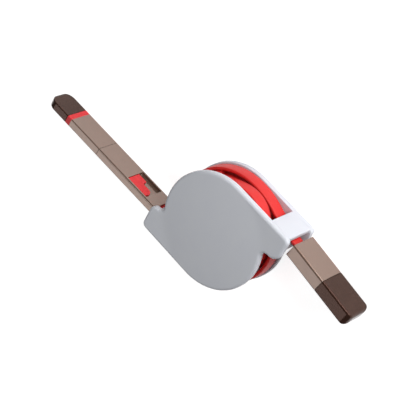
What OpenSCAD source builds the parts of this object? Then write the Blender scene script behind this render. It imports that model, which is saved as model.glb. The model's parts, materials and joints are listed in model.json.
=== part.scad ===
// Retractable charging cable: two covers, a sprung reel, a flat cable and two plugs.
// The origin is on the reel's axis at the rear cover's outer face, +Z points to the front
// cover, and +X points to the mouth of the type-A plug. The reel lies on its rear cover.

/* [Covers] */
// Radius of the round part of both covers
cover_r = 26; // [24:0.5:32]
// Thickness of each cover
cover_t = 3.4; // [2.8:0.1:4.5]
// Space between the covers
gap_h = 14.2; // [14.2:0.1:18]
// Rounding of the covers' outer edge
rim_round = 2.1; // [0.8:0.1:2.3]
// Reach of each nose beyond the round part
nose_beyond = 6.1; // [5.6:0.1:9]
// Radius of a nose's outer corner
nose_tip_r = 2.4; // [2.4:0.1:3.5]
// Radius of a nose's inner corner
nose_heel_r = 4.5; // [2.5:0.1:4.6]
// Radius of the hollow blend from a nose to the round
nose_blend_r = 2.4; // [1:0.1:2.8]
// Length of the bridge block that joins the covers at a mouth
bridge_len = 13; // [8:0.5:14]
// Thickness of the bridge block at its inner end
bridge_t = 3; // [2:0.1:3.2]
// Extra thickness of the bridge block at the mouth
bridge_taper = 1.8; // [0.5:0.1:2.5]
// Set-back of the bridge block from the covers' outline
bridge_setback = 0.06; // [0.04:0.01:0.2]
// Width of a mouth, from the bridge block to the inner lip
mouth_w = 5.6; // [5:0.1:6.2]
// Height of the inner lip of a mouth
lip_h = 3; // [2:0.1:3.6]
// Length of the inner lip
lip_len = 4; // [2:0.5:5]
// Distance of the inner lip behind the nose's end
lip_back = 3.1; // [3:0.1:4]
// Rounding of the inner lip's edges
lip_round = 0.8; // [0.3:0.1:0.9]
// Set-back of the inner lip from the nose's inner edge
lip_setback = 0.8; // [0.4:0.1:1.5]
// Radius of the pins that join the covers
pin_r = 0.9; // [0.6:0.1:1]
// Length of the pins that join the covers
pin_len = 2; // [1:0.1:2.4]
// Distance of the pins from the covers' edge
pin_edge = 2; // [1.9:0.1:2.1]
// Radius of the centre post
post_r = 3.2; // [2.5:0.1:3.6]
// Width of the slot in the centre post that holds the spring
post_slot_w = 0.7; // [0.5:0.1:1]
// Wall of the socket that takes the centre post
socket_wall = 1.6; // [1:0.1:1.8]
// Depth of the socket that takes the centre post
socket_h = 3; // [2:0.1:3.2]

/* [Reel] */
// Outer radius of the drum that the cable is wound on
drum_r = 14.5; // [14:0.1:16]
// Wall of the drum
drum_wall = 1.4; // [1:0.1:1.6]
// Wall of the sleeve that turns on the post
sleeve_wall = 1.2; // [0.8:0.1:1.4]
// Thickness of the web between the spring and the track
web_t = 1.2; // [0.8:0.1:1.6]
// Depth of the spring cavity
spring_cavity_h = 7; // [6:0.1:7.4]
// Thickness of the divider between the cable's two lanes
divider_t = 0.6; // [0.4:0.1:1]
// Reach of the divider beyond the drum
divider_reach = 6.4; // [4:0.1:6.8]
// Thickness of the spring's lid
lid_t = 0.8; // [0.6:0.1:1]
// Thickness of the spring's steel strip
strip_t = 0.3; // [0.2:0.05:0.4]
// Width of the spring's steel strip
strip_w = 6; // [4:0.1:6.4]
// Turns of the spring
spring_turns = 7; // [4:1:8]
// Radius of the lock ball
ball_r = 1.5; // [1.2:0.1:1.6]
// Air between the lock ball and the drum's wall
ball_wall_air = 1.1; // [0.8:0.1:1.4]
// Air between the lock ball and the track's island
ball_island_air = 0.9; // [0.5:0.1:1.2]
// Extra width of the guide that holds the lock ball
guide_extra = 2; // [1.2:0.1:3]
// Inward travel of the lock ball
ball_travel = 1.9; // [1.5:0.1:2]
// Notches in the track's island
notch_count = 10; // [6:1:10]
// Height of the track's island
island_h = 1.3; // [0.8:0.1:1.5]

/* [Cable] */
// Width of the flat cable
cable_w = 6; // [4.5:0.1:6.2]
// Thickness of the flat cable
cable_t = 1.5; // [1:0.1:1.6]
// Air between two turns of the cable
turn_air = 0.12; // [0.05:0.01:0.2]
// Set-back of the rear lane's outgoing turn from the covers' edge, to its middle
rear_turn_in = 1.35; // [1.2:0.05:1.8]
// Set-back of the front lane's outgoing turn from the covers' edge, to its middle
front_turn_in = 3.85; // [3:0.05:4.5]
// Outward bow of the slack front turn beside the type-A mouth
slack_bow = 4.3; // [0:0.1:4.3]
// Radius of the bend where the cable meets the two-in-one plug's mouth
bend_r = 6; // [3:0.5:8]
// Air between the cable and the inner lip that it bends over
lip_air = 0.45; // [0.3:0.05:0.6]
// Length of the type-A plug's lead outside its sleeve
lead_a_out = 2.4; // [2:0.1:4]
// Length of the cable inside the two-in-one plug's near end
lead_b_in = 3; // [2:0.1:5]

/* [Type-A plug] */
// Angle between the plug and the row's X axis
plug_a_yaw = 9.5; // [9:0.1:10]
// Gap from the nose's end to the plug's sleeve
plug_a_gap = 0.8; // [0.7:0.1:2]
// Shift of the plug from the middle of the gap towards the rear
plug_a_shift = 0.8; // [0:0.1:1.5]
// Width of the plug
plug_a_w = 13.7; // [13.2:0.1:15]
// Thickness of the plug
plug_a_t = 6.8; // [6.4:0.1:8]
// Length of the tan sleeve
sleeve_len = 18.6; // [14:0.1:25]
// Length of the smoky cap
cap_a_len = 18.7; // [15:0.1:25]
// Rounding of the plug's long edges
plug_a_round = 1.1; // [0.5:0.1:2]
// Thickness of the sleeve's end wall
sleeve_back = 1; // [0.6:0.1:1.5]
// Rounding of the cap's far corners
cap_a_corner = 2; // [1:0.1:2.5]
// Width of the metal shell
shell_w = 12; // [11.9:0.1:12.1]
// Thickness of the metal shell
shell_t = 4.5; // [4.4:0.1:4.6]
// Wall of the metal shell
shell_wall = 0.3; // [0.2:0.05:0.4]
// Length of the metal shell outside the sleeve
shell_out = 12; // [11.5:0.1:12.5]
// Length of the metal shell inside the sleeve
shell_in = 5; // [3:0.1:8]
// Width of a latch window in the shell
latch_w = 2.3; // [1.5:0.1:2.5]
// Length of a latch window in the shell
latch_l = 2.4; // [1.5:0.1:2.5]
// Distance of the latch windows from the shell's end
latch_back = 4.3; // [3:0.1:6]
// Distance of a latch window from the plug's middle
latch_at = 2.6; // [2:0.1:3]
// Thickness of the insulator tongue
tongue_t = 1.8; // [1.5:0.1:2]
// Set-back of the tongue from the shell's end
tongue_back = 1.3; // [0.8:0.1:2]
// Width of a power contact
contact_w = 1; // [0.8:0.1:1.2]
// Thickness of a contact
contact_t = 0.25; // [0.2:0.05:0.3]
// Length of a contact
contact_l = 7.5; // [5:0.1:8]
// Spacing of the contacts
contact_pitch = 2.3; // [2:0.1:2.5]

/* [Two-in-one plug] */
// Angle between the plug and the row's X axis
plug_b_yaw = 1.8; // [1:0.1:3]
// Depth that the plug's near end sits inside the mouth
plug_b_in = 2.3; // [0.5:0.1:2.4]
// Shift of the plug from the middle of the gap towards the front
plug_b_shift = 0.8; // [0:0.1:0.9]
// Width of the plug
plug_b_w = 12; // [11.5:0.1:12]
// Thickness of the plug
plug_b_t = 4; // [3.9:0.1:4.4]
// Rounding of the plug's long edges
plug_b_round = 0.7; // [0.3:0.1:0.8]
// Length of the micro plug's housing
micro_len = 37.9; // [34:0.1:45]
// Length of the adapter's housing
adapter_len = 19.3; // [16:0.1:25]
// Length of the red ring
ring_len = 2.6; // [2:0.1:4]
// Length of the smoky tip cap
tip_cap_len = 12.8; // [11:0.1:16]
// Rounding of the tip cap's far corners
tip_corner = 2.6; // [1:0.1:4]
// Thickness of the upper shells above the parting line
upper_t = 1; // [0.8:0.05:1]
// Width of the groove at the parting line
groove_w = 0.3; // [0.2:0.05:0.4]
// Depth of the groove at the parting line
groove_d = 0.3; // [0.2:0.05:0.4]
// Distance of the window from the plug's near end
window_from = 6.8; // [5:0.1:9]
// Length of the window
window_len = 10.4; // [8:0.1:14]
// Width of the window
window_w = 8; // [6:0.1:9]
// Depth of the window
window_d = 2.8; // [2:0.1:3]
// Width of the red strap in the window
strap_w = 5.6; // [4:0.1:6.4]
// Thickness of the red strap
strap_t = 1.7; // [1:0.1:1.8]
// Air between the strap's rounded end and the window's near end
strap_gap = 1.4; // [0.6:0.1:2]
// Width of the micro plug's metal shell
micro_w = 6.85; // [6.8:0.05:6.9]
// Thickness of the micro plug's metal shell
micro_t = 1.8; // [1.75:0.05:1.85]
// Wall of the micro plug's metal shell
micro_wall = 0.25; // [0.2:0.05:0.3]
// Length of the micro plug's shell outside its housing
micro_out = 5.5; // [5:0.1:6]
// Length of the micro plug's shell inside its housing
micro_in = 4; // [3:0.1:6]
// Width of the eight-pin blade
blade_w = 6.7; // [6.6:0.05:6.8]
// Thickness of the eight-pin blade
blade_t = 1.5; // [1.45:0.05:1.55]
// Length of the eight-pin blade outside the ring
blade_out = 6.6; // [6:0.1:7]
// Length of the eight-pin blade inside the adapter
blade_in = 3; // [2:0.1:5]
// Width of the adapter's nose that carries the ring
nose_w = 9.4; // [8.8:0.1:9.6]
// Thickness of the adapter's nose
nose_t = 2.6; // [2.3:0.1:2.7]
// Length of the nose beyond the ring
nose_out = 0.8; // [0.5:0.1:1.2]
// Width of one contact of the blade
pad_w = 0.4; // [0.3:0.05:0.5]
// Length of one contact of the blade
pad_l = 3.8; // [3:0.1:4.5]
// Height of the blade's contacts above its face
pad_t = 0.08; // [0.05:0.01:0.1]
// Spacing of the blade's contacts
pad_pitch = 0.72; // [0.65:0.01:0.75]

/* [Clearances] */
// Air between pieces that move past each other
move_air = 0.25; // [0.2:0.05:0.4]
// Air between pieces that are pushed together
fit_air = 0.05; // [0.03:0.01:0.1]
// Air between a smoky cap and what it covers
cap_air = 0.15; // [0.1:0.01:0.25]
// Air at a seam that can be seen between two housings
seam_air = 0.1; // [0.05:0.01:0.2]

/* [Hidden] */
$fn = 64;
// Overrun of a cut past a face
cut = 0.1;
// Degrees between two points of the covers' round part, and of their small arcs
arc_step = 6;
small_arc_step = 15;
// Rings in the rounded edge of a cover
edge_rings = 4;
// Height of the middle of the gap, where both plugs lie
mid_z = cover_t + gap_h / 2;
// Top of the gap
gap_top = cover_t + gap_h;
// Middle of the rear lane and of the front lane
rear_lane_z = mid_z - divider_t / 2 - move_air - cable_w / 2;
front_lane_z = mid_z + divider_t / 2 + move_air + cable_w / 2;
// Places of the adapter and the red ring along the two-in-one plug
adapter_from = micro_len + seam_air;
adapter_end = micro_len + adapter_len;
ring_end = adapter_end + ring_len;
// Spacing of the cable's turns
wind_pitch = cable_t + turn_air;
// Radius of the innermost turn's middle
first_turn_r = drum_r + turn_air + cable_t / 2;
// Degrees between two points of a wound turn
wind_step = 10;
// Colours
WHITE = [0.95, 0.96, 0.97];
RED = [0.86, 0.10, 0.10];
TAN = [0.64, 0.54, 0.48];
SMOKE = [0.26, 0.19, 0.17];
STEEL = [0.75, 0.76, 0.78];
GOLD = [0.85, 0.68, 0.35];
GREY = [0.55, 0.56, 0.58];
DARK = [0.12, 0.12, 0.13];

// Outlines

// Points of an arc about c from angle a to angle b; inset moves them towards the inside
function arc(c, r, a, b, side, inset, first = 0) =
    let (n = max(2, ceil(abs(b - a) / (r < cover_r ? small_arc_step : arc_step))), q = r - side * inset)
    [for (i = [first:n]) let (t = a + (b - a) * i / n) c + q * [cos(t), sin(t)]];

// Places of a mouth, from the axis line and from the axis
nose_reach = cover_r + nose_beyond;
lip_top = cover_r - bridge_t - bridge_taper - mouth_w;
nose_heel = lip_top - lip_h - lip_setback;

// Centre and angle of the hollow blend between a nose's inner edge and the round
blend_y = nose_heel - nose_blend_r;
blend_x = sqrt(pow(cover_r + nose_blend_r, 2) - pow(blend_y, 2));
blend_a = atan2(blend_y, blend_x);

// Half of the covers' outline, from the bottom of the round to the top, with one nose
function half_outline(inset) = concat(
    arc([0, 0], cover_r, -90, blend_a, 1, inset),
    arc([blend_x, blend_y], nose_blend_r, 180 + blend_a, 90, -1, inset, 1),
    arc([nose_reach - nose_heel_r, nose_heel + nose_heel_r], nose_heel_r, -90, 0, 1, inset),
    arc([nose_reach - nose_tip_r, cover_r - nose_tip_r], nose_tip_r, 0, 90, 1, inset));

function cover_outline(inset) = let (h = half_outline(inset)) concat(h, [for (p = h) -p]);

// A rounded rectangle, t along X and w along Y
module round_rect(t, w, r) {
    square([t, w - 2 * r], center = true);
    square([t - 2 * r, w], center = true);
    for (x = [-1, 1], y = [-1, 1]) translate([x * (t / 2 - r), y * (w / 2 - r)]) circle(r);
}

// A bar along +X whose section is a rounded rectangle, t along Y and w along Z
module bar(len, t, w, r) {
    rotate([90, 0, 90]) linear_extrude(len) round_rect(t, w, r);
}

// A plain block from x along +X, t along Y and w along Z
module block(x, len, t, w) {
    translate([x, -t / 2, -w / 2]) cube([len, t, w]);
}

// A bar whose far end has rounded corners, seen from the side and from above
module capped_bar(len, t, w, r, corner) {
    side_corner = min(corner, t / 2 - cut);
    intersection() {
        bar(len, t, w, r);
        translate([0, t, 0]) rotate([90, 0, 0]) linear_extrude(2 * t) far_round(len, w, corner);
        translate([0, 0, -w]) linear_extrude(2 * w) far_round(len, t, side_corner);
    }
}

// A strip from X = 0 to len and w wide, with its two far corners rounded
module far_round(len, w, r) {
    translate([-cut, -w / 2]) square([len - r + cut, w]);
    translate([0, -w / 2 + r]) square([len, w - 2 * r]);
    for (y = [-1, 1]) translate([len - r, y * (w / 2 - r)]) circle(r);
}

// Covers

// A solid from rings of points, each ring one level above the last
module loft(rings) {
    n = len(rings[0]);
    m = len(rings);
    points = [for (ring = rings) each ring];
    bottom = [for (i = [0:n - 1]) i];
    top = [for (i = [n - 1:-1:0]) (m - 1) * n + i];
    polyhedron(points, concat([bottom, top], loft_sides(n, m)));
}

function loft_sides(n, m) = [for (k = [0:m - 2], i = [0:n - 1]) let (j = (i + 1) % n)
    each [[k * n + i, (k + 1) * n + i, (k + 1) * n + j], [k * n + i, (k + 1) * n + j, k * n + j]]];

// The same for a ring of two like halves that is hollow in places: each end is two fans of triangles
module twin_loft(rings) {
    n = len(rings[0]);
    m = len(rings);
    half = n / 2;
    points = [for (ring = rings) each ring];
    fans = concat([for (i = [0:half - 2]) [half, i, i + 1]], [for (i = [half:n - 2]) [0, i, i + 1]]);
    top = [for (f = fans) [f[0] + (m - 1) * n, f[2] + (m - 1) * n, f[1] + (m - 1) * n]];
    polyhedron(points, concat(fans, top, loft_sides(n, m)));
}

function ring_at(inset, z) = [for (p = cover_outline(inset)) [p[0], p[1], z]];

// One cover's plate from z = 0 up, with its lower edge rounded
module cover_plate() {
    rounded = [for (i = [0:edge_rings]) let (a = 90 * i / edge_rings)
        ring_at(rim_round * (1 - sin(a)), rim_round * (1 - cos(a)))];
    twin_loft(concat(rounded, [ring_at(0, cover_t)]));
}

// The block that joins the covers at a mouth; its inner face slopes with the cable
module bridge() {
    x = nose_reach - bridge_len;
    corner = [nose_reach - nose_tip_r, cover_r - nose_tip_r];
    translate([0, 0, cover_t - cut]) linear_extrude(gap_h + cut)
        polygon(concat(
            [[x, cover_r - bridge_t], [nose_reach - bridge_setback, cover_r - bridge_t - bridge_taper]],
            arc(corner, nose_tip_r, 0, 90, 1, bridge_setback), [[x, cover_r - bridge_setback]]));
}

// The inner lip of a mouth, with round edges for the cable to bend over
module lip() {
    translate([nose_reach - lip_back - lip_len / 2, lip_top - lip_h / 2, cover_t - cut])
        linear_extrude(gap_h + cut) round_rect(lip_len, lip_h, lip_round);
}

// Places of the joining pins on a bridge
pin_x_shares = [0.2, 0.68];
module at_pins() {
    for (turn = [0, 180], s = pin_x_shares) rotate(turn)
        translate([nose_reach - bridge_len * (1 - s), cover_r - pin_edge]) children();
}

module rear_cover() {
    color(WHITE) difference() {
        union() {
            cover_plate();
            for (turn = [0, 180]) rotate(turn) {
                bridge();
                lip();
            }
            translate([0, 0, gap_top - cut]) at_pins() cylinder(pin_len + cut, r = pin_r);
            translate([0, 0, cover_t - cut]) cylinder(gap_h + cut, r = post_r);
        }
        translate([-post_slot_w / 2, -post_r - cut, cover_t + lid_t + move_air])
            cube([post_slot_w, 2 * (post_r + cut), spring_cavity_h]);
    }
}

// Guide that holds the lock ball in a radial slot
guide_w = 2 * ball_r + guide_extra;
track_r = drum_r - drum_wall - ball_r - ball_wall_air;
web_top = cover_t + move_air + lid_t + spring_cavity_h + web_t;
ball_z = web_top + fit_air + ball_r;
guide_z = web_top + island_h + move_air;
guide_in = track_r - ball_travel - ball_r - 2 * fit_air;
guide_out = track_r + ball_r + 2 * fit_air;

module front_cover() {
    color(WHITE) difference() {
        union() {
            translate([0, 0, gap_top + cover_t]) mirror([0, 0, 1]) cover_plate();
            translate([0, 0, gap_top - socket_h]) cylinder(socket_h + cut, r = post_r + socket_wall);
            translate([guide_in, -guide_w / 2, guide_z])
                cube([guide_out - guide_in, guide_w, gap_top - guide_z + cut]);
        }
        translate([0, 0, gap_top - socket_h - cut]) cylinder(socket_h + cut, r = post_r + fit_air);
        translate([0, 0, gap_top - cut]) at_pins() cylinder(pin_len + 2 * cut, r = pin_r + fit_air);
        translate([guide_in - cut, -ball_r - fit_air, guide_z - cut])
            cube([guide_out - guide_in + 2 * cut, 2 * (ball_r + fit_air),
                  ball_z + ball_r + fit_air - guide_z + cut]);
    }
}

// Reel

sleeve_r = post_r + sleeve_wall;
spool_low = cover_t + move_air;
spool_top = gap_top - move_air;
island_r = track_r - ball_r - ball_island_air;

module spool() {
    color(GREY) difference() {
        union() {
            translate([0, 0, spool_low]) difference() {
                cylinder(spool_top - spool_low, r = drum_r);
                translate([0, 0, -cut]) cylinder(spool_top - spool_low + 2 * cut, r = drum_r - drum_wall);
            }
            translate([0, 0, web_top - web_t]) cylinder(web_t, r = drum_r - drum_wall + cut);
            translate([0, 0, web_top - cut]) track_island();
            translate([0, 0, web_top - web_t])
                cylinder(gap_top - socket_h - move_air - web_top + web_t, r = sleeve_r);
            translate([0, 0, mid_z - divider_t / 2]) divider();
        }
        translate([0, 0, spool_low - cut]) cylinder(gap_h, r = post_r + fit_air);
    }
}

// The track's island with its ring of notches
module track_island() {
    difference() {
        cylinder(island_h + cut, r = island_r);
        for (i = [0:notch_count - 1]) rotate(i * 360 / notch_count)
            translate([track_r - ball_travel, 0, -cut]) cylinder(island_h + 3 * cut, r = ball_r + move_air);
    }
}

// The divider, with the slot that the cable crosses in
module divider() {
    difference() {
        cylinder(divider_t, r = drum_r + divider_reach);
        translate([0, 0, -cut]) cylinder(divider_t + 2 * cut, r = drum_r - drum_wall / 2);
        rotate(cross_a - 2 * wind_step) rotate_extrude(angle = 3 * wind_step)
            translate([drum_r - cut, -cut]) square([wind_pitch + move_air + cut, divider_t + 2 * cut]);
    }
}

module spring_lid() {
    color(DARK) translate([0, 0, spool_low]) difference() {
        cylinder(lid_t, r = drum_r - drum_wall - fit_air);
        translate([0, 0, -cut]) cylinder(lid_t + 2 * cut, r = post_r + move_air);
    }
}

// A closed outline of a flat strip wound from radius r0 to r1 over the angles a to b
function wound(r0, r1, t, a, b, step) =
    let (n = ceil(abs(b - a) / step))
    concat(wound_side(r0 + t / 2, r1 + t / 2, a, b, [0:n], n),
           wound_side(r0 - t / 2, r1 - t / 2, a, b, [n:-1:0], n));

function wound_side(r0, r1, a, b, order, n) =
    [for (i = order) let (v = a + (b - a) * i / n) (r0 + (r1 - r0) * i / n) * [cos(v), sin(v)]];

// Degrees between two points of the spring
spring_step = 12;
module power_spring() {
    inner = post_r + move_air + strip_t / 2;
    outer = drum_r - drum_wall - move_air - strip_t / 2;
    color(STEEL) translate([0, 0, spool_low + lid_t + fit_air])
        linear_extrude(strip_w) polygon(wound(inner, outer, strip_t, 0, spring_turns * 360, spring_step));
}

module lock_ball() {
    color(STEEL) translate([track_r, 0, ball_z]) sphere(ball_r, $fn = 32);
}

// Cable

// The outgoing turns leave the reel at these angles
leave_a = 90 - plug_a_yaw;
leave_b = 250;
// Angle at which the cable crosses from one lane to the other
cross_a = 0;
// Degrees that each outgoing turn covers
turn_span = 300;
// Middle of each outgoing turn
rear_turn_r = cover_r - rear_turn_in;
front_turn_r = cover_r - front_turn_in;

// Whole steps of winding that fit between the drum and an outgoing turn at radius r
function wound_degrees(r) =
    floor((r - cable_t - move_air - first_turn_r) / wind_pitch * 360 / wind_step) * wind_step;
function wound_r(degrees) = first_turn_r + wind_pitch * degrees / 360;

// One lane's coil, wound outwards from the crossing over some degrees
module coil(z, h, degrees) {
    translate([0, 0, z]) linear_extrude(h)
        polygon(wound(first_turn_r, wound_r(degrees), cable_t, cross_a, cross_a - degrees, wind_step));
}

module cable_coils() {
    color(RED) {
        coil(rear_lane_z - cable_w / 2, cable_w, wound_degrees(rear_turn_r));
        coil(front_lane_z - cable_w / 2, cable_w, wound_degrees(front_turn_r));
        coil(rear_lane_z, front_lane_z - rear_lane_z, wind_step);
    }
}

// Outline of the cable's section: [across its thickness, along its width]
cable_edge_share = 0.3;
cable_edge = cable_t * cable_edge_share;
function cable_section() = [
    [-cable_t / 2, -cable_w / 2 + cable_edge], [-cable_t / 2 + cable_edge, -cable_w / 2],
    [cable_t / 2 - cable_edge, -cable_w / 2], [cable_t / 2, -cable_w / 2 + cable_edge],
    [cable_t / 2, cable_w / 2 - cable_edge], [cable_t / 2 - cable_edge, cable_w / 2],
    [-cable_t / 2 + cable_edge, cable_w / 2], [-cable_t / 2, cable_w / 2 - cable_edge]];

// Sweeps the cable's section along stations of [x, y, z, heading]
module sweep_cable(stations) {
    loft([for (s = stations) [for (p = cable_section())
        [s[0] - p[0] * sin(s[3]), s[1] + p[0] * cos(s[3]), s[2] + p[1]]]]);
}

// Stations of a straight run from p along heading a, as its height goes from z0 to z1
run_step = 2.5;
function straight(p, a, len, z0, z1) = let (n = ceil(len / run_step)) [for (i = [1:n]) let (s = len * i / n)
    [p[0] + s * cos(a), p[1] + s * sin(a), z0 + (z1 - z0) * late(i / n), a]];

// Goes smoothly from 0 to 1 over the last part of a run, clear of the other lane
late_share = 0.45;
function late(t) = let (u = max(0, (t - late_share) / (1 - late_share))) u * u * (3 - 2 * u);

// Direction, start and height of each plug's own axis
plug_a_dir = -plug_a_yaw;
plug_a_x = nose_reach + plug_a_gap;
plug_a_y = (rear_turn_r - plug_a_x * sin(plug_a_yaw)) / cos(plug_a_yaw);
plug_a_z = mid_z - plug_a_shift;
plug_b_dir = 180 - plug_b_yaw;
plug_b_x = -(nose_reach - plug_b_in);
plug_b_y = -(lip_top + lip_air + cable_t / 2);
plug_b_z = mid_z + plug_b_shift;

// Length of the two-in-one plug's lead outside its housing
lead_b_out = lip_back - plug_b_in;

// Steps of an outgoing turn
turn_step = 7.5;

// The rear lane's outgoing turn, then the straight run to the type-A mouth
leave_a_pt = rear_turn_r * [cos(leave_a), sin(leave_a)];
run_a = norm([plug_a_x, plug_a_y] - leave_a_pt) - lead_a_out - seam_air;
module turn_to_type_a() {
    color(RED) sweep_cable(concat(
        [for (v = [leave_a + turn_span:-turn_step:leave_a - fit_air])
            [rear_turn_r * cos(v), rear_turn_r * sin(v), rear_lane_z, v - 90]],
        straight(leave_a_pt, plug_a_dir, run_a, rear_lane_z, plug_a_z)));
}

// The front lane's turn bows out into the type-A nose, where it is slack
slack_mid = 65;
slack_span = 100;
function slack(v) = let (d = (v - 360 - slack_mid) / slack_span)
    abs(d) < 0.5 ? slack_bow * pow(cos(180 * d), 2) : 0;
function turn_b_pt(v) = (front_turn_r + slack(v)) * [cos(v), sin(v)];
function turn_b_heading(v) = let (d = turn_b_pt(v - 1) - turn_b_pt(v + 1)) atan2(d[1], d[0]);

// The straight run from the front lane meets the two-in-one plug's axis at a bend
leave_b_pt = turn_b_pt(leave_b);
leave_b_dir = leave_b - 90;
run_b = ((([plug_b_x, plug_b_y] - leave_b_pt) * [-sin(plug_b_dir), cos(plug_b_dir)])
    / sin(leave_b_dir - plug_b_dir));
bend_a = plug_b_dir - leave_b_dir;
bend_cut = bend_r * tan(bend_a / 2);
bend_pt = leave_b_pt + run_b * [cos(leave_b_dir), sin(leave_b_dir)];
bend_c = bend_pt - bend_cut * [cos(leave_b_dir), sin(leave_b_dir)]
    + bend_r * [-sin(leave_b_dir), cos(leave_b_dir)];
bend_end = bend_pt + bend_cut * [cos(plug_b_dir), sin(plug_b_dir)];
bend_steps = 4;
after_b = norm([plug_b_x, plug_b_y] - bend_end) - lead_b_out - seam_air;
module turn_to_micro() {
    color(RED) sweep_cable(concat(
        [for (v = [leave_b + turn_span:-turn_step:leave_b - fit_air])
            concat(turn_b_pt(v), [front_lane_z, turn_b_heading(v)])],
        straight(leave_b_pt, leave_b_dir, run_b - bend_cut, front_lane_z, front_lane_z),
        [for (i = [1:bend_steps]) let (h = leave_b_dir + bend_a * i / bend_steps)
            [bend_c[0] + bend_r * sin(h), bend_c[1] - bend_r * cos(h), front_lane_z, h]],
        straight(bend_end, plug_b_dir, after_b, front_lane_z, plug_b_z)));
}

// A straight piece of cable along a plug's axis
module lead(from, to) {
    translate([from, 0, 0]) rotate([90, 0, 90]) linear_extrude(to - from) polygon(cable_section());
}

module lead_type_a() {
    color(RED) at_plug_a() lead(-lead_a_out, sleeve_back);
}

module lead_micro() {
    color(RED) at_plug_b() lead(-lead_b_out, lead_b_in);
}

// Type-A plug, along its own X axis from the sleeve's end

module at_plug_a() {
    translate([plug_a_x, plug_a_y, plug_a_z]) rotate(plug_a_dir) children();
}

pocket_t = shell_t + 2 * cap_air;
pocket_w = shell_w + 2 * cap_air;
shell_from = sleeve_len - shell_in;
shell_end = sleeve_len + shell_out;

module type_a_sleeve() {
    color(TAN) at_plug_a() difference() {
        bar(sleeve_len, plug_a_t, plug_a_w, plug_a_round);
        block(sleeve_back, sleeve_len, pocket_t, pocket_w);
        block(-cut, sleeve_back + 2 * cut, cable_t + 2 * fit_air, cable_w + 2 * fit_air);
    }
}

// Inner block that carries the shell and grips the cable
module type_a_core() {
    color(DARK) at_plug_a() block(sleeve_back + fit_air, shell_from - sleeve_back - 2 * fit_air,
                                  pocket_t - 2 * fit_air, pocket_w - 2 * fit_air);
}

// Outer rounding of the metal shell's long edges
shell_round = 0.6;
module type_a_shell() {
    color(STEEL) at_plug_a() difference() {
        translate([shell_from, 0, 0]) bar(shell_in + shell_out, shell_t, shell_w, shell_round);
        translate([shell_from - cut, 0, 0])
            bar(shell_in + shell_out + 2 * cut, shell_t - 2 * shell_wall, shell_w - 2 * shell_wall,
                shell_round - shell_wall);
        for (z = [-1, 1]) translate([0, 0, z * latch_at])
            block(shell_end - latch_back - latch_l, latch_l, shell_t + cut, latch_w);
    }
}

// The tongue lies against one wide wall of the shell and is full height at its root
tongue_w = shell_w - 2 * shell_wall - 2 * cap_air;
tongue_y = shell_t / 2 - shell_wall - fit_air - tongue_t;
module type_a_tongue() {
    root_t = shell_t - 2 * shell_wall - 2 * fit_air;
    color(WHITE) at_plug_a() {
        block(shell_from, shell_in - fit_air, root_t, tongue_w);
        translate([shell_from, tongue_y, -tongue_w / 2])
            cube([shell_in + shell_out - tongue_back, tongue_t, tongue_w]);
    }
}

module type_a_contacts() {
    count = 4;
    color(GOLD) at_plug_a() for (i = [0:count - 1])
        translate([shell_end - tongue_back - contact_l - contact_w, tongue_y - contact_t,
                   (i - (count - 1) / 2) * contact_pitch - contact_w / 2])
            cube([contact_l, contact_t, contact_w]);
}

module type_a_cap() {
    color(SMOKE, 0.8) at_plug_a() translate([sleeve_len + seam_air, 0, 0]) difference() {
        capped_bar(cap_a_len, plug_a_t, plug_a_w, plug_a_round, cap_a_corner);
        block(-cut, shell_out + move_air + cut, pocket_t, pocket_w);
    }
}

// Two-in-one plug, along its own X axis from its near end

module at_plug_b() {
    translate([plug_b_x, plug_b_y, plug_b_z]) rotate(plug_b_dir) children();
}

// Height of the parting line above the plug's middle; the upper shells lie on the -Y side
part_y = upper_t - plug_b_t / 2;

// The space above the parting line
module above_parting(x, len) {
    translate([x, part_y - plug_b_t, -plug_b_w]) cube([len, plug_b_t, 2 * plug_b_w]);
}

// The housing's bar between x0 and x1, below or above the parting line
module lower_half(x0, x1) {
    difference() {
        translate([x0, 0, 0]) bar(x1 - x0, plug_b_t, plug_b_w, plug_b_round);
        above_parting(x0 - cut, x1 - x0 + 2 * cut);
        for (z = [-1, 1]) translate([x0 - cut, part_y - cut, z * plug_b_w / 2 - groove_d])
            cube([x1 - x0 + 2 * cut, groove_w + cut, 2 * groove_d]);
    }
}

module upper_half(x0, x1) {
    difference() {
        translate([x0, 0, 0]) bar(x1 - x0, plug_b_t, plug_b_w, plug_b_round);
        translate([x0 - cut, part_y, -plug_b_w]) cube([x1 - x0 + 2 * cut, plug_b_t, 2 * plug_b_w]);
    }
}

// The window's space, from the upper face down
module window_space() {
    translate([window_from, -plug_b_t / 2 - cut, -window_w / 2]) cube([window_len, window_d + cut, window_w]);
}

module micro_base() {
    color(TAN) at_plug_b() difference() {
        lower_half(0, micro_len);
        window_space();
        block(-cut, lead_b_in + cut, cable_t + 2 * fit_air, cable_w + 2 * fit_air);
        block(micro_len - micro_in - fit_air, micro_in + fit_air + cut,
              micro_t + 2 * fit_air, micro_w + 2 * fit_air);
    }
}

module micro_lid() {
    color(TAN) at_plug_b() difference() {
        upper_half(0, micro_len);
        window_space();
    }
}

// The shell of the micro plug has its two long edges drawn in on one side
drawn_in_share = 0.33;
module micro_outline(t, w) {
    slope = t * drawn_in_share;
    polygon([[t / 2, -w / 2 + slope], [t / 2, w / 2 - slope], [t / 2 - slope, w / 2], [-t / 2, w / 2],
             [-t / 2, -w / 2], [t / 2 - slope, -w / 2]]);
}

module micro_bar(x, len, t, w) {
    translate([x, 0, 0]) rotate([90, 0, 90]) linear_extrude(len) micro_outline(t, w);
}

module micro_shell() {
    color(STEEL) at_plug_b() difference() {
        micro_bar(micro_len - micro_in, micro_in + micro_out, micro_t, micro_w);
        micro_bar(micro_len - micro_in - cut, micro_in + micro_out + 2 * cut,
                  micro_t - 2 * micro_wall, micro_w - 2 * micro_wall);
    }
}

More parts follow.
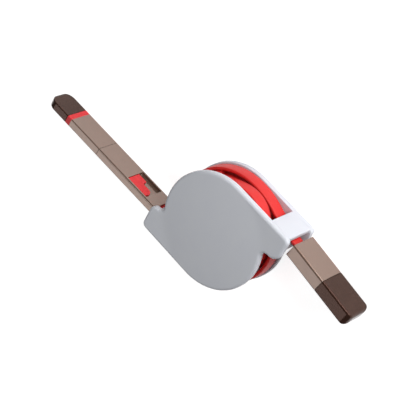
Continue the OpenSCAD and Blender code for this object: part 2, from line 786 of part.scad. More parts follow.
micro_tongue_t = (micro_t - 2 * micro_wall) / 2;
micro_tongue_w = micro_w - 2 * micro_wall - micro_t;
module micro_tongue() {
    color(DARK) at_plug_b()
        translate([micro_len - micro_in, -micro_t / 2 + micro_wall + fit_air, -micro_tongue_w / 2])
            cube([micro_in + micro_out - 2 * micro_wall, micro_tongue_t, micro_tongue_w]);
}

// Count, spacing, place and length of the micro plug's contacts
micro_pins = 5;
micro_pitch = 0.65;
micro_pin_from_share = 0.3;
micro_pin_len_share = 0.6;
module micro_contacts() {
    color(GOLD) at_plug_b() for (i = [0:micro_pins - 1])
        translate([micro_len + micro_out * micro_pin_from_share,
                   -micro_t / 2 + micro_wall + fit_air + micro_tongue_t,
                   (i - (micro_pins - 1) / 2) * micro_pitch - pad_w / 2])
            cube([micro_out * micro_pin_len_share, pad_t, pad_w]);
}

// The red strap lies on the window's floor; its near end is round
module tether_strap() {
    len = window_len - strap_gap - fit_air - strap_w / 2;
    color(RED) at_plug_b() translate([window_from + strap_gap + strap_w / 2, window_d - plug_b_t / 2, 0])
        rotate([90, 0, 0]) linear_extrude(strap_t) {
            translate([0, -strap_w / 2]) square([len, strap_w]);
            circle(strap_w / 2);
        }
}

// Outside of the adapter's metal socket
socket_t = micro_t + 2 * (fit_air + micro_wall);
socket_w = micro_w + 2 * (fit_air + micro_wall);
socket_len = micro_out + 2 * micro_wall;

module adapter_base() {
    color(TAN) at_plug_b() difference() {
        union() {
            lower_half(adapter_from, adapter_end);
            block(adapter_end - cut, ring_len + nose_out + cut, nose_t, nose_w);
        }
        above_parting(adapter_end - 2 * cut, 2 * cut);
        block(adapter_from - cut, socket_len + fit_air + cut, socket_t + 2 * fit_air, socket_w + 2 * fit_air);
        translate([ring_end - ring_len - blade_in - fit_air, 0, 0])
            bar(blade_in + ring_len + nose_out + 2 * cut, blade_t + 2 * fit_air, blade_w + 2 * fit_air,
                blade_t / 2);
    }
}

module adapter_lid() {
    color(TAN) at_plug_b() difference() {
        upper_half(adapter_from, adapter_end);
        block(adapter_from - cut, socket_len + fit_air + cut, socket_t + 2 * fit_air, socket_w + 2 * fit_air);
    }
}

module adapter_socket() {
    color(STEEL) at_plug_b() difference() {
        block(adapter_from, socket_len, socket_t, socket_w);
        block(adapter_from - cut, micro_out + cut, socket_t - 2 * micro_wall, socket_w - 2 * micro_wall);
    }
}

module eight_pin_blade() {
    color(STEEL) at_plug_b() translate([ring_end - ring_len - blade_in, 0, 0])
        bar(blade_in + ring_len + blade_out, blade_t, blade_w, blade_t / 2 - fit_air);
}

module eight_pin_contacts() {
    count = 8;
    color(GOLD) at_plug_b() for (side = [0, 1], i = [0:count - 1]) mirror([0, side, 0])
        translate([ring_end + blade_out - pad_l - blade_t / 2, blade_t / 2,
                   (i - (count - 1) / 2) * pad_pitch - pad_w / 2])
            cube([pad_l, pad_t, pad_w]);
}

module cap_ring() {
    color(RED) at_plug_b() translate([adapter_end, 0, 0]) difference() {
        bar(ring_len, plug_b_t, plug_b_w, plug_b_round);
        block(-cut, ring_len + 2 * cut, nose_t + 2 * fit_air, nose_w + 2 * fit_air);
    }
}

module tip_cap() {
    color(SMOKE, 0.8) at_plug_b() translate([ring_end + seam_air, 0, 0]) difference() {
        capped_bar(tip_cap_len, plug_b_t, plug_b_w, plug_b_round, tip_corner);
        block(-cut, nose_out + move_air + cut, nose_t + 2 * cap_air, nose_w + 2 * cap_air);
        block(-cut, blade_out + move_air + cut, blade_t + 2 * (pad_t + cap_air), blade_w + 2 * cap_air);
    }
}

front_cover();
rear_cover();
spool();
power_spring();
spring_lid();
lock_ball();
cable_coils();
turn_to_type_a();
turn_to_micro();
lead_type_a();
lead_micro();
type_a_sleeve();
type_a_core();
type_a_shell();
type_a_tongue();
type_a_contacts();
type_a_cap();
micro_base();
micro_lid();
micro_shell();
micro_tongue();
micro_contacts();
tether_strap();
adapter_base();
adapter_lid();
adapter_socket();
eight_pin_blade();
eight_pin_contacts();
cap_ring();
tip_cap();
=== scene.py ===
# %% [markdown]
# # A retractable charging cable
# The object is a pocket reel. Two white covers hold a sprung spool, and a flat red cable leaves
# them by two mouths. One end has a type-A plug under a smoky cap. The other has a long
# two-in-one plug: a micro plug, with an adapter and a second smoky cap pushed onto it. They keep
# their size and place, and this file gives them edges, surfaces and light. Where the photograph
# shows a form more closely than the solids do, the piece here follows the photograph, inside the
# solids' box. Every length below is a real one, in millimetres.

# %% Load the measured solids
import json
import math
import bmesh
import bpy
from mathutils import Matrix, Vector

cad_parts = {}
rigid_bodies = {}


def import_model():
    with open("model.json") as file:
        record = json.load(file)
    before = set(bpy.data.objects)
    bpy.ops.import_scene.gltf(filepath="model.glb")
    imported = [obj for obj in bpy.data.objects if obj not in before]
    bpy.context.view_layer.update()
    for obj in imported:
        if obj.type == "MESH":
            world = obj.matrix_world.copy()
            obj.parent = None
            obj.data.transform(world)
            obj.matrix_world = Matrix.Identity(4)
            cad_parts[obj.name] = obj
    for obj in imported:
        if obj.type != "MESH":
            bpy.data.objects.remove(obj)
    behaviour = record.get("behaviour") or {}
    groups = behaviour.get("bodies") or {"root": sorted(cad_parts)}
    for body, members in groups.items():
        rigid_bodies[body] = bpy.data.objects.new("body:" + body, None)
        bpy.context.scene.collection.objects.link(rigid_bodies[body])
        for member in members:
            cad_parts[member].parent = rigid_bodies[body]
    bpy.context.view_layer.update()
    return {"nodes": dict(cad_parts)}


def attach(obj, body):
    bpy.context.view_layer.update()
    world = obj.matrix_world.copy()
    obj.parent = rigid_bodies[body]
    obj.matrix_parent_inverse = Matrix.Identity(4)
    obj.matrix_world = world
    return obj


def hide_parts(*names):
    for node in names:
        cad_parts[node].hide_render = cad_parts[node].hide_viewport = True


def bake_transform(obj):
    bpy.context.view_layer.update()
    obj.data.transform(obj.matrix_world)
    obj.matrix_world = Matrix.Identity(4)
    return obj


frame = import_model()
nodes = frame["nodes"]
MM = 0.001

# %% [markdown]
# ## Two helpers for materials
# A colour picked from a screen is in sRGB, but Blender mixes light in linear values, so one
# function turns a hex colour into linear. Another adds a node, sets it and links it in one line,
# which keeps each material short enough to read. A pattern's scale is worked out from its real
# size, because a texture counts its features per metre.

# %% Colour and node helpers
def linear(code):
    parts = [int(code[i:i + 2], 16) / 255 for i in (1, 3, 5)]
    return [p / 12.92 if p <= 0.04045 else ((p + 0.055) / 1.055) ** 2.4 for p in parts] + [1.0]


def add(tree, kind, settings=None, sockets=None):
    made = tree.nodes.new(kind)
    for key, value in (settings or {}).items():
        setattr(made, key, value)
    for key, value in (sockets or {}).items():
        found = (made.inputs[key] if isinstance(key, int)
                 else [i for i in made.inputs if key in (i.identifier, i.name)][0])
        if isinstance(value, bpy.types.NodeSocket):
            tree.links.new(value, found)
        else:
            found.default_value = value
    return made


def start_material(name, **sockets):
    material = bpy.data.materials.new(name)
    material.use_nodes = True
    shader = material.node_tree.nodes["Principled BSDF"]
    for key, value in sockets.items():
        shader.inputs[key.replace("_", " ")].default_value = value
    return material, material.node_tree, shader


# A pattern whose features are this many millimetres apart, as a texture's scale in metres
def spacing(mm):
    return 1 / (mm * MM)


print("linear value of a mid grey:", round(linear("#808080")[0], 3))

# %% [markdown]
# ## White moulded ABS
# The covers are ABS, injection moulded in a polished steel tool. The eye gets a smooth white skin
# with a soft gloss, and at a grazing angle a very shallow waviness, where the plastic shrank a
# little as it cooled. Its IOR is about 1.54. The waves are some 3 mm long, and a second
# pattern of 0.25 mm stands for the fine texture that keeps the gloss from being a mirror's.
# Two close whites, in clouds of 9 mm, keep the big faces from looking painted.

# %% White ABS
white_abs, tree, shader = start_material("white_abs_moulded", Roughness=0.48, IOR=1.54)
place = add(tree, "ShaderNodeTexCoord").outputs["Object"]
clouds = add(tree, "ShaderNodeTexNoise", sockets={"Vector": place, "Scale": spacing(9), "Detail": 3.0})
tone = add(tree, "ShaderNodeMix", {"data_type": "RGBA"},
           {"Factor": clouds.outputs["Fac"], "A_Color": linear("#EEF1F7"), "B_Color": linear("#E8EBF4")})
tree.links.new(tone.outputs[2], shader.inputs["Base Color"])
skin = add(tree, "ShaderNodeTexNoise", sockets={"Vector": place, "Scale": spacing(0.25), "Detail": 2.0})
rough = add(tree, "ShaderNodeMapRange", sockets={"Value": skin.outputs["Fac"], "To Min": 0.42, "To Max": 0.54})
tree.links.new(rough.outputs["Result"], shader.inputs["Roughness"])
wave = add(tree, "ShaderNodeTexNoise", sockets={"Vector": place, "Scale": spacing(3), "Detail": 1.0})
low = add(tree, "ShaderNodeBump", sockets={"Height": wave.outputs["Fac"], "Strength": 0.25,
                                           "Distance": 0.02 * MM})
fine = add(tree, "ShaderNodeBump", sockets={"Height": skin.outputs["Fac"], "Strength": 0.3,
                                            "Distance": 0.004 * MM, "Normal": low.outputs["Normal"]})
tree.links.new(fine.outputs["Normal"], shader.inputs["Normal"])
print("white ABS:", len(tree.nodes), "nodes")

# %% [markdown]
# ## Red cable jacket
# The jacket of a flat charging cable is TPE, a soft rubbery plastic, drawn through a die round its
# wires. It is satin rather than glossy, slightly see-through at its skin, and carries faint
# unevenness where the wires lie under it. A fine grain of 0.2 mm breaks up the gloss.

# %% Red TPE jacket
red_jacket, tree, shader = start_material("red_tpe_jacket", Roughness=0.48, IOR=1.5)
place = add(tree, "ShaderNodeTexCoord").outputs["Object"]
clouds = add(tree, "ShaderNodeTexNoise", sockets={"Vector": place, "Scale": spacing(4), "Detail": 3.0})
tone = add(tree, "ShaderNodeMix", {"data_type": "RGBA"},
           {"Factor": clouds.outputs["Fac"], "A_Color": linear("#E82A28"), "B_Color": linear("#F23632")})
tree.links.new(tone.outputs[2], shader.inputs["Base Color"])
grain = add(tree, "ShaderNodeTexNoise", sockets={"Vector": place, "Scale": spacing(0.2), "Detail": 2.0})
rough = add(tree, "ShaderNodeMapRange", sockets={"Value": grain.outputs["Fac"], "To Min": 0.42, "To Max": 0.56})
tree.links.new(rough.outputs["Result"], shader.inputs["Roughness"])
bump = add(tree, "ShaderNodeBump", sockets={"Height": grain.outputs["Fac"], "Strength": 0.4,
                                            "Distance": 0.008 * MM})
tree.links.new(bump.outputs["Normal"], shader.inputs["Normal"])
print("red jacket:", len(tree.nodes), "nodes")

# %% [markdown]
# ## Red silicone
# The ring and the strap are moulded silicone. It is brighter and a little pinker than the jacket,
# because light goes further into it, and it has the dull bloom of a rubber part, in patches of
# some 1.2 mm.

# %% Red silicone
red_silicone, tree, shader = start_material("red_silicone_moulded", Roughness=0.5, IOR=1.43)
place = add(tree, "ShaderNodeTexCoord").outputs["Object"]
bloom = add(tree, "ShaderNodeTexNoise", sockets={"Vector": place, "Scale": spacing(1.2), "Detail": 4.0})
tone = add(tree, "ShaderNodeMix", {"data_type": "RGBA"},
           {"Factor": bloom.outputs["Fac"], "A_Color": linear("#F03439"), "B_Color": linear("#F84449")})
tree.links.new(tone.outputs[2], shader.inputs["Base Color"])
rough = add(tree, "ShaderNodeMapRange", sockets={"Value": bloom.outputs["Fac"], "To Min": 0.42, "To Max": 0.6})
tree.links.new(rough.outputs["Result"], shader.inputs["Roughness"])
bump = add(tree, "ShaderNodeBump", sockets={"Height": bloom.outputs["Fac"], "Strength": 0.2,
                                            "Distance": 0.01 * MM})
tree.links.new(bump.outputs["Normal"], shader.inputs["Normal"])
print("red silicone:", len(tree.nodes), "nodes")

# %% [markdown]
# ## Champagne lacquer
# The plug housings are ABS sprayed with a champagne lacquer: a brown-grey base with very fine
# aluminium flakes, under a satin clear coat. The flakes make the tone lift where the light comes
# back to the eye, so the material is partly metallic. Real flakes are about 0.02 mm across. They
# are drawn at 0.12 mm, as coarse as they need to be to show at all. The spray lies a little
# unevenly, so the gloss changes over clouds of 2.5 mm.

# %% Champagne lacquer
champagne, tree, shader = start_material("champagne_lacquer", Metallic=0.5, Roughness=0.3, IOR=1.5,
                                         Coat_Weight=1.0, Coat_Roughness=0.12)
place = add(tree, "ShaderNodeTexCoord").outputs["Object"]
flake = add(tree, "ShaderNodeTexVoronoi", sockets={"Vector": place, "Scale": spacing(0.12)})
tone = add(tree, "ShaderNodeMix", {"data_type": "RGBA"},
           {"Factor": flake.outputs["Distance"], "A_Color": linear("#917566"), "B_Color": linear("#866B5C")})
tree.links.new(tone.outputs[2], shader.inputs["Base Color"])
cloud = add(tree, "ShaderNodeTexNoise", sockets={"Vector": place, "Scale": spacing(2.5), "Detail": 2.0})
rough = add(tree, "ShaderNodeMapRange", sockets={"Value": cloud.outputs["Fac"], "To Min": 0.27, "To Max": 0.35})
tree.links.new(rough.outputs["Result"], shader.inputs["Roughness"])
bump = add(tree, "ShaderNodeBump", sockets={"Height": flake.outputs["Distance"], "Strength": 0.15,
                                            "Distance": 0.004 * MM})
tree.links.new(bump.outputs["Normal"], shader.inputs["Normal"])
print("champagne lacquer:", len(tree.nodes), "nodes")

# %% [markdown]
# ## Smoky polycarbonate
# The two caps are clear polycarbonate with a brown-black dye. Its IOR is about 1.58. Three tenths
# of the light is let through and the dye stops the rest. The gloss is held low and tinted brown,
# because the caps in the photograph show no white sheen. The dye flows in faint streaks of 3 mm.

# %% Smoky polycarbonate
smoky, tree, shader = start_material("smoky_polycarbonate", Roughness=0.16, IOR=1.58,
                                     Transmission_Weight=0.3, Specular_IOR_Level=0.25,
                                     Specular_Tint=linear("#FFCDBE"))
place = add(tree, "ShaderNodeTexCoord").outputs["Object"]
flow = add(tree, "ShaderNodeTexNoise", sockets={"Vector": place, "Scale": spacing(3), "Detail": 2.0})
tone = add(tree, "ShaderNodeMix", {"data_type": "RGBA"},
           {"Factor": flow.outputs["Fac"], "A_Color": linear("#3F281F"), "B_Color": linear("#4E352A")})
tree.links.new(tone.outputs[2], shader.inputs["Base Color"])
rough = add(tree, "ShaderNodeMapRange", sockets={"Value": flow.outputs["Fac"], "To Min": 0.12, "To Max": 0.2})
tree.links.new(rough.outputs["Result"], shader.inputs["Roughness"])
bump = add(tree, "ShaderNodeBump", sockets={"Height": flow.outputs["Fac"], "Strength": 0.2,
                                            "Distance": 0.01 * MM})
tree.links.new(bump.outputs["Normal"], shader.inputs["Normal"])
print("smoky polycarbonate:", len(tree.nodes), "nodes")

# %% [markdown]
# ## Metals
# The plug shells are steel strip, folded and then nickel plated, which looks bright with faint
# drawing lines along the strip. The contacts are gold over nickel. The spring and the ball are
# bare hardened steel. All three share one recipe: a metal colour, and noise stretched along one
# direction to make lines 0.15 mm apart. A metal keeps Blender's own IOR.

# %% Nickel, gold and spring steel
def drawn_metal(name, dark, bright, rough_low, rough_high, stretch):
    material, tree, shader = start_material(name, Metallic=1.0)
    place = add(tree, "ShaderNodeTexCoord").outputs["Object"]
    along = add(tree, "ShaderNodeMapping", sockets={"Vector": place, "Scale": stretch})
    lines = add(tree, "ShaderNodeTexNoise", sockets={"Vector": along.outputs["Vector"],
                                                     "Scale": spacing(0.15), "Detail": 3.0})
    tone = add(tree, "ShaderNodeMix", {"data_type": "RGBA"},
               {"Factor": lines.outputs["Fac"], "A_Color": linear(dark), "B_Color": linear(bright)})
    tree.links.new(tone.outputs[2], shader.inputs["Base Color"])
    rough = add(tree, "ShaderNodeMapRange", sockets={"Value": lines.outputs["Fac"],
                                                     "To Min": rough_low, "To Max": rough_high})
    tree.links.new(rough.outputs["Result"], shader.inputs["Roughness"])
    bump = add(tree, "ShaderNodeBump", sockets={"Height": lines.outputs["Fac"], "Strength": 0.15,
                                                "Distance": 0.003 * MM})
    tree.links.new(bump.outputs["Normal"], shader.inputs["Normal"])
    return material


nickel = drawn_metal("nickel_plated_steel", "#B9BABC", "#D6D7D9", 0.16, 0.3, (0.05, 1, 1))
gold = drawn_metal("gold_plated_contact", "#D9A84E", "#EBC070", 0.2, 0.34, (0.1, 1, 1))
spring_steel = drawn_metal("spring_steel_strip", "#8E8F92", "#A9AAAD", 0.28, 0.42, (1, 1, 0.05))
print("metals:", nickel.name, gold.name, spring_steel.name)

# %% [markdown]
# ## Plain plastics inside
# The spool is acetal, a waxy grey plastic that slides well. The plug's inner block is black nylon
# and the insulator is a white heat-proof plastic. Each is a moulded matt surface, so they share a
# recipe: two close tones in 0.8 mm clouds and a 0.15 mm grain.

# %% Acetal, nylon and insulator
def matt_plastic(name, dark, bright, rough_mid, ior):
    material, tree, shader = start_material(name, IOR=ior)
    place = add(tree, "ShaderNodeTexCoord").outputs["Object"]
    clouds = add(tree, "ShaderNodeTexNoise", sockets={"Vector": place, "Scale": spacing(0.8), "Detail": 3.0})
    tone = add(tree, "ShaderNodeMix", {"data_type": "RGBA"},
               {"Factor": clouds.outputs["Fac"], "A_Color": linear(dark), "B_Color": linear(bright)})
    tree.links.new(tone.outputs[2], shader.inputs["Base Color"])
    grain = add(tree, "ShaderNodeTexNoise", sockets={"Vector": place, "Scale": spacing(0.15), "Detail": 2.0})
    rough = add(tree, "ShaderNodeMapRange", sockets={"Value": grain.outputs["Fac"], "To Min": rough_mid - 0.06,
                                                     "To Max": rough_mid + 0.06})
    tree.links.new(rough.outputs["Result"], shader.inputs["Roughness"])
    bump = add(tree, "ShaderNodeBump", sockets={"Height": grain.outputs["Fac"], "Strength": 0.4,
                                                "Distance": 0.006 * MM})
    tree.links.new(bump.outputs["Normal"], shader.inputs["Normal"])
    return material


acetal = matt_plastic("grey_acetal", "#A4A6A9", "#B4B6B9", 0.45, 1.48)
nylon = matt_plastic("black_nylon", "#1C1C1F", "#26262A", 0.55, 1.53)
insulator = matt_plastic("white_insulator", "#E4E3DE", "#EFEEEA", 0.5, 1.6)
inner_finish = {
    "spool": acetal, "power_spring": spring_steel, "spring_lid": nylon, "lock_ball": spring_steel,
    "type_a_core": nylon, "type_a_shell": nickel, "type_a_tongue": insulator, "type_a_contacts": gold,
    "micro_shell": nickel, "micro_tongue": nylon, "micro_contacts": gold, "adapter_socket": nickel,
    "eight_pin_blade": nickel, "eight_pin_contacts": gold}
for name, material in inner_finish.items():
    nodes[name].material_slots[0].material = material
print("inner pieces with their finish:", len(inner_finish))

# %% [markdown]
# ## From lists of points to a piece
# Most pieces here are lofts: rings of points, one after another, joined by four-sided faces and
# closed at both ends. A ring may hold any outline, so one function makes covers, cables and caps.
# Faces meet smoothly where they turn less than 35 degrees and stay crisp where they turn more.

# %% Mesh helpers
CRISP = math.radians(35)


def piece_from(name, points, faces, material):
    mesh = bpy.data.meshes.new(name)
    mesh.from_pydata([Vector(p) * MM for p in points], [], faces)
    made = bmesh.new()
    made.from_mesh(mesh)
    bmesh.ops.recalc_face_normals(made, faces=made.faces)
    smooth_edges(made)
    made.to_mesh(mesh)
    made.free()
    mesh.materials.append(material)
    piece = bpy.data.objects.new(name, mesh)
    bpy.context.scene.collection.objects.link(piece)
    return piece


def smooth_edges(made):
    for face in made.faces:
        face.smooth = True
    for edge in made.edges:
        edge.smooth = len(edge.link_faces) == 2 and edge.calc_face_angle(0) < CRISP


def loft(rings):
    count = len(rings[0])
    points = [p for ring in rings for p in ring]
    faces = [(k * count + i, k * count + (i + 1) % count,
              (k + 1) * count + (i + 1) % count, (k + 1) * count + i)
             for k in range(len(rings) - 1) for i in range(count)]
    faces += [tuple(range(count)), tuple((len(rings) - 1) * count + i for i in range(count))]
    return points, faces


def join_lists(*parts):
    points, faces = [], []
    for more_points, more_faces in parts:
        faces += [tuple(i + len(points) for i in face) for face in more_faces]
        points += more_points
    return points, faces


def finish_piece(piece, body, slot, *replaced):
    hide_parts(*replaced)
    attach(piece, body)
    print(piece.name, "faces:", len(piece.data.polygons), "replaces:", ", ".join(replaced))


# %% [markdown]
# ## The covers
# Both covers have one outline: a circle, with a nose at each mouth. It is a chain of arcs, and
# a smaller or larger radius insets the whole outline at once. The noses' outer edges slant by
# 3 degrees, so each nose narrows a little towards its mouth, and the left one is 2 mm shorter.

# %% Outline of the covers
COVER_R, COVER_T, GAP = 26, 3.4, 14.2
# How far each nose reaches from the axis, and the slant of its outer edge
REACH_A, REACH_B, SLANT = 32.1, 30.2, math.radians(3)
# Radii of a nose's outer corner, of its heel, and of the hollow where it leaves the round body
TIP_R, HEEL_R, BLEND_R = 2.4, 4.5, 2.4
# Height of a nose's inner edge, on the heel's side
HEEL_Y = 11.8
GAP_TOP = COVER_T + GAP
THICK = 2 * COVER_T + GAP


def arc(cx, cy, radius, start, end, inset=0.0, step=3.0):
    count = max(2, math.ceil(abs(end - start) / step))
    return [(cx + (radius - inset) * math.cos(math.radians(start + (end - start) * i / count)),
             cy + (radius - inset) * math.sin(math.radians(start + (end - start) * i / count)))
            for i in range(count + 1)]


# Height of a nose's slanted outer edge, x away from the axis
def edge_y(x):
    return (COVER_R - x * math.sin(SLANT)) / math.cos(SLANT)


# Half of the outline, with the nose on its right. The heel is smaller where the nose is short.
def half_outline(reach, inset):
    by = HEEL_Y - BLEND_R
    bx = math.sqrt((COVER_R + BLEND_R) ** 2 - by ** 2)
    turn = math.degrees(math.atan2(by, bx))
    heel = min(HEEL_R, reach - bx - 0.1)
    tip_y = edge_y(reach - TIP_R) - TIP_R / math.cos(SLANT)
    return (arc(0, 0, COVER_R, -93, turn, inset, 2)
            + arc(bx, by, BLEND_R, 180 + turn, 90, -inset)[1:]
            + arc(reach - heel, HEEL_Y + heel, heel, -90, 0, inset)
            + arc(reach - TIP_R, tip_y, TIP_R, 0, 87, inset))


def cover_outline(inset):
    return half_outline(REACH_A, inset) + [(-x, -y) for x, y in half_outline(REACH_B, inset)]


print("points in the outline:", len(cover_outline(0)))

# %% [markdown]
# ## Plates, bridge blocks and lips
# A cover is a plate lofted from insets of its outline. Ten rings, each a step further out and
# further up, follow a quarter circle and make the soft rim of 1.3 mm. A tiny round of 0.2 mm
# stays on the inner edge, as on any moulded part, and shows the seam to the bridge block. The
# front plate is the rear one upside down. The rear cover also carries what stands between them:
# a post on the axis and, at each mouth, an outer block and an inner lip beside the cable.

# %% Plates, bridge blocks and lips
RIM, INNER_EDGE = 1.3, 0.2
# A bridge block's length, thickness, corner radius, and how far it stays behind the nose's end
BRIDGE_LEN, BRIDGE_T, BRIDGE_ROUND, BRIDGE_BACK = 11, 2.1, 0.35, 1.2
# How far a block stays inside the covers' edge, so that the seam shows
SETBACK = 0.06
# A lip's far side from the axis, its length, thickness and corner radius, and its place on the nose
LIP_TOP, LIP_LEN, LIP_T, LIP_ROUND, LIP_BACK = 15.6, 4, 3, 0.8, 5.1
POST_R, SOCKET_R, SOCKET_DEPTH = 3.2, 4.8, 3


def flip(points, turned):
    return [(x, y, THICK - z) for x, y, z in points] if turned else points


def cover_plate(front):
    # Pairs of inset and height. The first and the last lie on the flat faces, which keeps them flat.
    steps = [(RIM + 0.2, 0)] + [(RIM * (1 - math.sin(a)), RIM * (1 - math.cos(a)))
                                for a in (math.radians(90 * i / 9) for i in range(10))]
    edge = INNER_EDGE
    steps += [(0, COVER_T - edge), (edge * 0.3, COVER_T - edge * 0.3),
              (edge, COVER_T), (edge + 0.5, COVER_T)]
    rings = [[(x, y, z) for x, y in cover_outline(inset)] for inset, z in steps]
    points, faces = loft(rings)
    return flip(points, front), faces


def prism(outline, low, high, edge=0.0):
    cx = sum(p[0] for p in outline) / len(outline)
    cy = sum(p[1] for p in outline) / len(outline)

    def shrunk(by, z):
        return [(x + (cx - x) * by / max(0.01, math.hypot(x - cx, y - cy)),
                 y + (cy - y) * by / max(0.01, math.hypot(x - cx, y - cy)), z) for x, y in outline]
    if not edge:
        return loft([shrunk(0, low), shrunk(0, high)])
    return loft([shrunk(edge, low), shrunk(0, low + edge), shrunk(0, high - edge), shrunk(edge, high)])


def turned(outline, turn):
    sign = -1 if turn else 1
    return [(sign * x, sign * y) for x, y in outline]


def round_rect(cx, cy, w, h, radius, step=15):
    corners = [(1, 1, 0), (-1, 1, 90), (-1, -1, 180), (1, -1, 270)]
    return [p for sx, sy, a in corners
            for p in arc(cx + sx * (w / 2 - radius), cy + sy * (h / 2 - radius), radius, a, a + 90, 0, step)]


def block(reach):
    edge, setback = BRIDGE_ROUND, SETBACK
    x0, x1 = reach - BRIDGE_BACK - BRIDGE_LEN, reach - BRIDGE_BACK - 0.02
    return ([(x0, edge_y(x0) - BRIDGE_T)]
            + arc(x1 - edge, edge_y(x1) - BRIDGE_T + edge, edge, -93, 0, 0, 15)
            + arc(x1 - edge, edge_y(x1) - setback - edge, edge, 0, 87, 0, 15)
            + arc(x0 + edge, edge_y(x0) - setback - edge, edge, 87, 180, 0, 15))


post = arc(0, 0, POST_R, 0, 354, 0, 6)
rear = [cover_plate(False), prism(post, COVER_T - 0.1, GAP_TOP)]
for turn, reach in enumerate((REACH_A, REACH_B)):
    lip = round_rect(reach - LIP_BACK, LIP_TOP - LIP_T / 2, LIP_LEN, LIP_T, LIP_ROUND)
    rear += [prism(turned(block(reach), turn), COVER_T - 0.2, GAP_TOP),
             prism(turned(lip, turn), COVER_T - 0.1, GAP_TOP)]
rear_cover = piece_from("rear_cover_moulding", *join_lists(*rear), white_abs)
finish_piece(rear_cover, "covers", "white_shell", "rear_cover")
socket = arc(0, 0, SOCKET_R, 0, 354, 0, 6)
front_cover = piece_from("front_cover_moulding", *join_lists(
    cover_plate(True), prism(socket, GAP_TOP - SOCKET_DEPTH, GAP_TOP + 0.1)), white_abs)
print("front cover before it is crowned, faces:", len(front_cover.data.polygons))

# %% [markdown]
# ## The front cover's crown
# A moulded cover is hardly ever quite flat, and this one's outer face falls by 0.9 mm from its
# middle to its rim, which gives the grey of the photograph its slow change. The big flat face is
# first divided by planes 2 mm apart, so that it has points to lower, and each point is then
# lowered by the square of its distance from the axis.

# %% Crown
# The drop at the rim, the space between the dividing planes, and a shift that keeps the planes
# off the outline's own points
CROWN, PLANE_STEP, PLANE_SHIFT = 0.9, 2, 0.3


def crown(piece, drop):
    made = bmesh.new()
    made.from_mesh(piece.data)
    top = max(v.co.z for v in made.verts)
    for axis in (Vector((1, 0, 0)), Vector((0, 1, 0))):
        for i in range(-17, 18):
            flat = [f for f in made.faces if all(v.co.z > top - 1e-7 for v in f.verts)]
            edges = {e for f in flat for e in f.edges}
            corners = {v for f in flat for v in f.verts}
            bmesh.ops.bisect_plane(made, geom=flat + list(edges) + list(corners), dist=1e-8,
                                   plane_co=axis * (PLANE_STEP * i + PLANE_SHIFT) * MM, plane_no=axis)
    for v in made.verts:
        share = max(0, (v.co.z / MM - GAP_TOP) / COVER_T)
        v.co.z -= drop * MM * share * min(1, math.hypot(v.co.x, v.co.y) / (COVER_R * MM)) ** 2
    smooth_edges(made)
    made.to_mesh(piece.data)
    made.free()


crown(front_cover, CROWN)
finish_piece(front_cover, "covers", "white_shell", "front_cover")

# %% [markdown]
# ## The flat cable
# The cable is 6 mm wide and 1.5 mm thick, with rounded edges. Its section is carried along a line
# of stations, each a place and a heading. Close stations make the turns round where the measured
# solids are faceted. On the spool it lies in two lanes, wound from the middle outwards.

# %% Section of the cable and a sweep
CABLE_W, CABLE_T, CABLE_ROUND, AIR = 6, 1.5, 0.55, 0.12
MID_Z = COVER_T + GAP / 2
# The lanes lie this far from the middle height
LANE_OUT = 3.55
REAR_LANE, FRONT_LANE = MID_Z - LANE_OUT, MID_Z + LANE_OUT
REAR_TURN_R, FRONT_TURN_R = 24.65, 22.15


def cable_section(shrink=0.0):
    return round_rect(0, 0, CABLE_T - shrink, CABLE_W - shrink, CABLE_ROUND, 18)


def sweep(stations, shrink=0.0):
    rings = []
    for x, y, z, heading in stations:
        a = math.radians(heading)
        rings.append([(x - u * math.sin(a), y + u * math.cos(a), z + v)
                      for u, v in cable_section(shrink)])
    return loft(rings)


# From 0 to 1 along a run, but only over its last part
def late(t):
    u = max(0, (t - 0.45) / 0.55)
    return u * u * (3 - 2 * u)


def straight(start, heading, length, z0, z1, count=24):
    a = math.radians(heading)
    return [(start[0] + length * i / count * math.cos(a), start[1] + length * i / count * math.sin(a),
             z0 + (z1 - z0) * late(i / count), heading) for i in range(1, count + 1)]


print("points round the cable:", len(cable_section()))

# %% [markdown]
# The rear lane's last turn bows outwards before the type-A mouth, by a power curve that starts
# softly, and then eases into that plug's line. The front lane's last turn is slack: a smooth
# hump, a squared cosine over 100 degrees, pushes it out beside the same mouth. It goes on round
# the reel, runs straight, and bends by 18 degrees to meet the two-in-one plug. Each plug lies
# between the lanes, so the cable also changes height, late in its last run.

# %% The two outgoing turns
# Each plug's near end, and its heading in degrees
PLUG_A = (32.9, 19.4872, MID_Z - 0.8, -9.5)
PLUG_B = (-29.8, -16.8, MID_Z + 0.8, 178.2)
# The rear turn's bow: how far out, from which angle, over how many degrees, and its power
BOW, BOW_FROM, BOW_OVER, BOW_POWER = 2.4, 150, 94, 3.4
# The front turn's hump: how far out, the angle of its middle, and its span in degrees
HUMP, HUMP_AT, HUMP_SPAN = 4.3, 65, 100
# The front turn's way out: its heading, the straight run, the bend, and the run after it
OUT_DIR, OUT_RUN, BEND_R, BEND, LAST_RUN = 160, 9.65, 6, 18.2, 10.5
# Degrees between the stations of a turn
STEP = 2.5


def polar(radius, angle):
    return radius * math.cos(math.radians(angle)), radius * math.sin(math.radians(angle))


def rear_line(angle):
    return polar(REAR_TURN_R + BOW * max(0, (BOW_FROM - angle) / BOW_OVER) ** BOW_POWER, angle)


def front_line(angle):
    off = (angle - 360 - HUMP_AT) / HUMP_SPAN
    return polar(FRONT_TURN_R + (HUMP * math.cos(math.pi * off) ** 2 if abs(off) < 0.5 else 0), angle)


def heading(line, angle):
    (x0, y0), (x1, y1) = line(angle + 1), line(angle - 1)
    return math.degrees(math.atan2(y1 - y0, x1 - x0))


